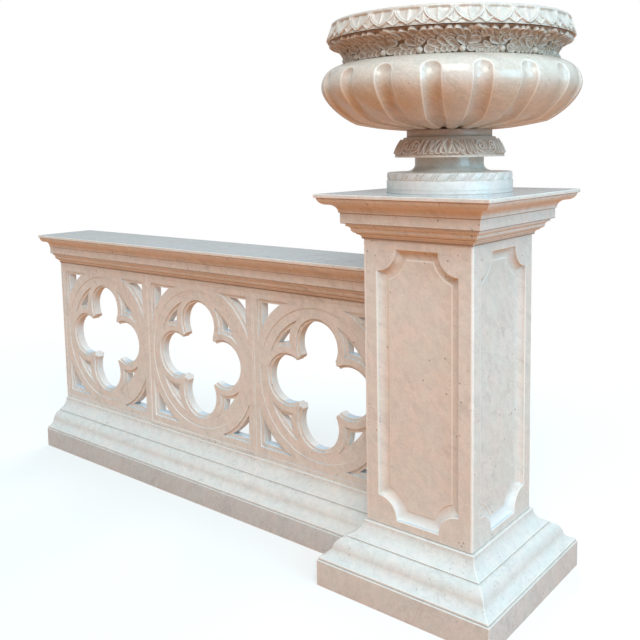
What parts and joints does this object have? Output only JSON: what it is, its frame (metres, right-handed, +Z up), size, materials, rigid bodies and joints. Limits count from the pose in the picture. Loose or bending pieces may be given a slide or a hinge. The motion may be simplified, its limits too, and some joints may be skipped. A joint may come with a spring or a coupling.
{
  "type": "stone balustrade",
  "caption": "Marble balustrade: a square panelled pier with a fluted urn on its cap, and a rail of pierced quatrefoil bays under a moulded coping.",
  "frame": {"origin": "on the ground, at the centre of the pier", "axes": "+Z up; the rail runs off the pier towards -X; -Y is the front"},
  "size_m": [2.651, 0.822, 1.848],
  "materials": {
    "marble": "cream marble with faint grey veins, honed",
    "carved_marble": "pale grey and cream marble, polished, with carved ornament"
  },
  "bodies": {
    "root": {"pier_plinth": "marble", "pier_base_lower": "marble", "pier_base_upper": "marble", "pier_shaft_front": "marble", "pier_shaft_right": "marble", "pier_shaft_back": "marble", "pier_shaft_left": "marble", "pier_cap_bed": "marble", "pier_cap_crown": "marble", "rail_plinth": "marble", "rail_base_lower": "marble", "rail_base_upper": "marble", "tracery_bay_1": "marble", "tracery_bay_2": "marble", "tracery_bay_3": "marble", "coping_bed": "marble", "coping_crown": "marble", "urn_foot_drum": "carved_marble", "urn_rope_ring": "carved_marble", "urn_stem": "carved_marble", "urn_leaf_collar": "carved_marble", "urn_neck_disc": "carved_marble", "urn_bowl": "carved_marble", "urn_leaf_neck": "carved_marble", "urn_rim": "carved_marble"}
  },
  "joints": []
}
